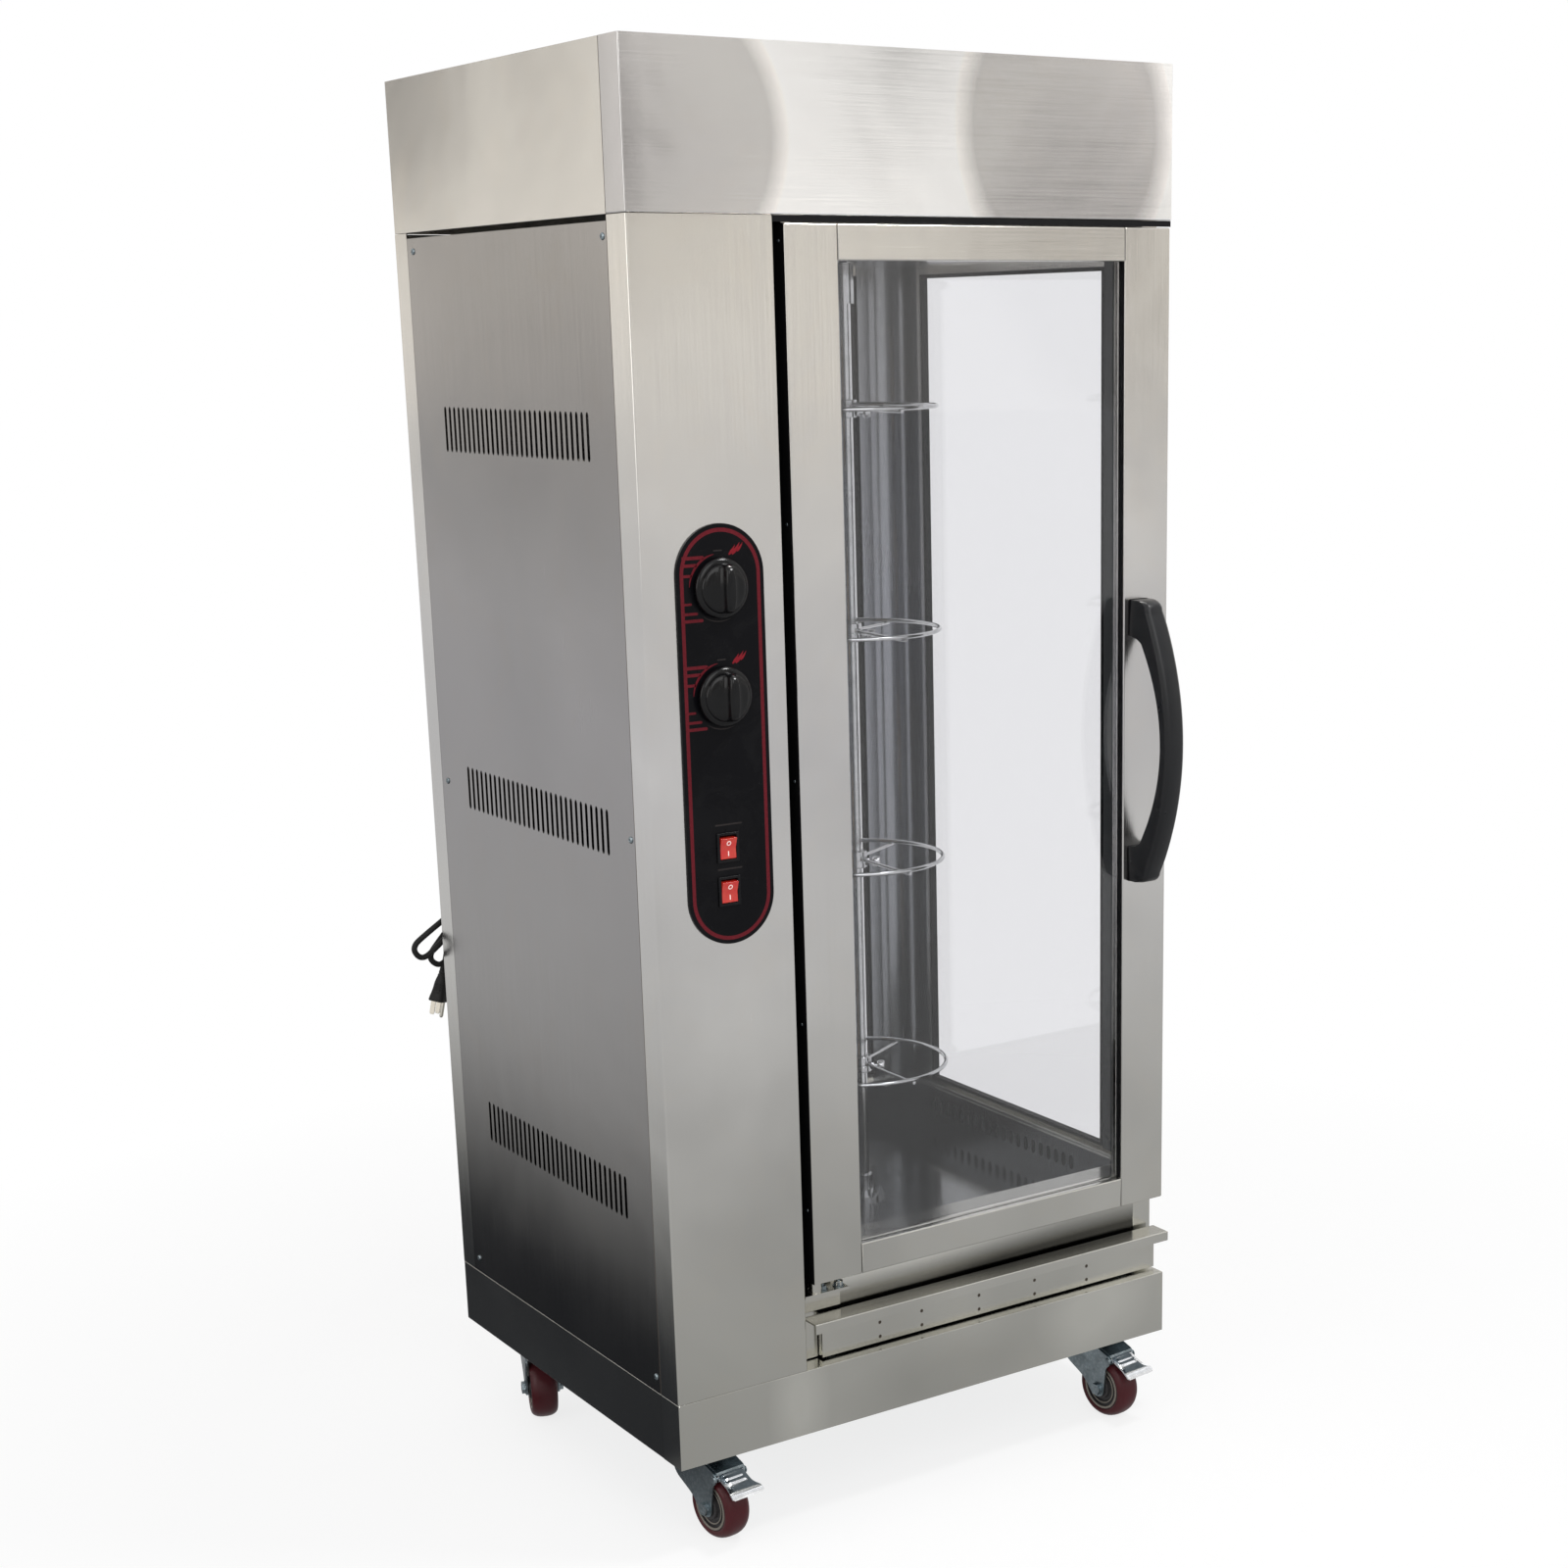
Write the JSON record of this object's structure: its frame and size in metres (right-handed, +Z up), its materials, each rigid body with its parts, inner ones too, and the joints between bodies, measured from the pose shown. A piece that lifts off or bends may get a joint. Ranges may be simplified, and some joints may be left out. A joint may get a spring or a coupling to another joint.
{
  "type": "vertical rotisserie oven",
  "caption": "Tall sheet-metal vertical rotisserie on locking casters with a glazed door, drip drawer, turning spindle with wire rings and a side control column.",
  "frame": {"origin": "on the floor, below the middle of the outside box without the cord", "axes": "+X to the right seen from the door, +Y to the back, +Z up"},
  "size_m": [0.6953, 0.6771, 1.556],
  "materials": {
    "stainless": "brushed",
    "zinc": "zinc plated",
    "glass": "clear",
    "seal": "matte",
    "handle_plastic": "satin",
    "control_film": "gloss",
    "black_plastic": "gloss",
    "red_lens": "gloss",
    "brass": "machined",
    "burner": "matte",
    "motor_paint": "satin",
    "chrome": "polished",
    "cord_rubber": "matte",
    "wheel_tread": "satin"
  },
  "bodies": {
    "cabinet": {"plinth_front": "stainless", "plinth_back": "stainless", "base_frame": "zinc", "caster_plates": "zinc", "control_column": "stainless", "side_panel": "stainless", "rear_panel": "stainless", "rear_corner_liner": "stainless", "partition_wall": "stainless", "front_frame": "stainless", "sill_plate": "stainless", "right_wall": "stainless", "cabinet_glass": "glass", "chamber_floor": "stainless", "chamber_ceiling": "stainless", "hood_front": "stainless", "hood_back": "stainless", "hood_top": "stainless", "control_plate": "control_film", "switch_bodies": "black_plastic", "gas_manifold": "brass", "infrared_burners": "burner", "gear_motor": "motor_paint", "floor_socket": "chrome", "panel_screws": "zinc", "hinge_brackets": "zinc", "cord_gland": "black_plastic", "power_cord": "cord_rubber", "cord_hank": "cord_rubber", "power_plug": "cord_rubber"},
    "door": {"door_stile_left": "stainless", "door_stile_right": "stainless", "door_rail_top": "stainless", "door_rail_bottom": "stainless", "door_glass": "glass", "door_gasket": "seal", "door_handle": "handle_plastic"},
    "drawer": {"drawer_front": "stainless", "drip_tray": "stainless"},
    "spindle": {"spindle": "chrome", "rack_ring_1": "chrome", "rack_ring_2": "chrome", "rack_ring_3": "chrome", "rack_ring_4": "chrome"},
    "valve_upper": {"valve_stem_upper": "brass"},
    "valve_lower": {"valve_stem_lower": "brass"},
    "knob_upper": {"knob_upper": "black_plastic"},
    "knob_lower": {"knob_lower": "black_plastic"},
    "rocker_upper": {"rocker_upper": "red_lens"},
    "rocker_lower": {"rocker_lower": "red_lens"},
    "fork_fl": {"caster_fork_fl": "zinc"},
    "wheel_fl": {"caster_wheel_fl": "wheel_tread"},
    "pedal_left": {"brake_pedal_left": "zinc"},
    "fork_fr": {"caster_fork_fr": "zinc"},
    "wheel_fr": {"caster_wheel_fr": "wheel_tread"},
    "pedal_right": {"brake_pedal_right": "zinc"},
    "fork_rl": {"caster_fork_rl": "zinc"},
    "wheel_rl": {"caster_wheel_rl": "wheel_tread"},
    "fork_rr": {"caster_fork_rr": "zinc"},
    "wheel_rr": {"caster_wheel_rr": "wheel_tread"}
  },
  "joints": [
    {"name": "door_hinge", "type": "hinge", "parent": "cabinet", "child": "door", "pos_m": [-0.152, -0.2385, 0.278], "axis": [0, 0, -1], "range_deg": [0, 105]},
    {"name": "drawer_slide", "type": "slide", "parent": "cabinet", "child": "drawer", "axis": [0, -1, 0], "range_m": [0, 0.4]},
    {"name": "spindle_turn", "type": "hinge", "parent": "cabinet", "child": "spindle", "pos_m": [0.08575, 0.0295, 0.254], "axis": [0, 0, 1], "continuous": true},
    {"name": "valve_push_upper", "type": "slide", "parent": "cabinet", "child": "valve_upper", "axis": [0, 1, 0], "range_m": [0, 0.003], "stiffness_N_per_m": 400, "springref_m": -0.002},
    {"name": "knob_turn_upper", "type": "hinge", "parent": "valve_upper", "child": "knob_upper", "pos_m": [-0.248, -0.2565, 1.0405], "axis": [0, -1, 0], "range_deg": [0, 270]},
    {"name": "valve_push_lower", "type": "slide", "parent": "cabinet", "child": "valve_lower", "axis": [0, 1, 0], "range_m": [0, 0.003], "stiffness_N_per_m": 400, "springref_m": -0.002},
    {"name": "knob_turn_lower", "type": "hinge", "parent": "valve_lower", "child": "knob_lower", "pos_m": [-0.248, -0.2565, 0.9325], "axis": [0, -1, 0], "range_deg": [0, 270]},
    {"name": "rocker_upper_tilt", "type": "hinge", "parent": "cabinet", "child": "rocker_upper", "pos_m": [-0.249, -0.2485, 0.7778], "axis": [-1, 0, 0], "range_deg": [0, 16]},
    {"name": "rocker_lower_tilt", "type": "hinge", "parent": "cabinet", "child": "rocker_lower", "pos_m": [-0.249, -0.2485, 0.7322], "axis": [-1, 0, 0], "range_deg": [0, 16]},
    {"name": "swivel_fl", "type": "hinge", "parent": "cabinet", "child": "fork_fl", "pos_m": [-0.273, -0.1825, 0.095], "axis": [0, 0, 1], "continuous": true},
    {"name": "wheel_fl_spin", "type": "hinge", "parent": "fork_fl", "child": "wheel_fl", "pos_m": [-0.26924, -0.2183, 0.038], "axis": [0.9945, 0.1045, 0], "continuous": true},
    {"name": "pedal_left_press", "type": "hinge", "parent": "fork_fl", "child": "pedal_left", "pos_m": [-0.26736, -0.2362, 0.0785], "axis": [0.9945, 0.1045, 0], "range_deg": [0, 12]},
    {"name": "swivel_fr", "type": "hinge", "parent": "cabinet", "child": "fork_fr", "pos_m": [0.273, -0.1825, 0.095], "axis": [0, 0, 1], "continuous": true},
    {"name": "wheel_fr_spin", "type": "hinge", "parent": "fork_fr", "child": "wheel_fr", "pos_m": [0.27676, -0.2183, 0.038], "axis": [0.9945, 0.1045, 0], "continuous": true},
    {"name": "pedal_right_press", "type": "hinge", "parent": "fork_fr", "child": "pedal_right", "pos_m": [0.27864, -0.2362, 0.0785], "axis": [0.9945, 0.1045, 0], "range_deg": [0, 12]},
    {"name": "swivel_rl", "type": "hinge", "parent": "cabinet", "child": "fork_rl", "pos_m": [-0.273, 0.2275, 0.095], "axis": [0, 0, 1], "continuous": true},
    {"name": "wheel_rl_spin", "type": "hinge", "parent": "fork_rl", "child": "wheel_rl", "pos_m": [-0.28531, 0.19367, 0.038], "axis": [0.9397, -0.342, 0], "continuous": true},
    {"name": "swivel_rr", "type": "hinge", "parent": "cabinet", "child": "fork_rr", "pos_m": [0.273, 0.2275, 0.095], "axis": [0, 0, 1], "continuous": true},
    {"name": "wheel_rr_spin", "type": "hinge", "parent": "fork_rr", "child": "wheel_rr", "pos_m": [0.26552, 0.19229, 0.038], "axis": [0.9781, -0.2079, 0], "continuous": true}
  ]
}
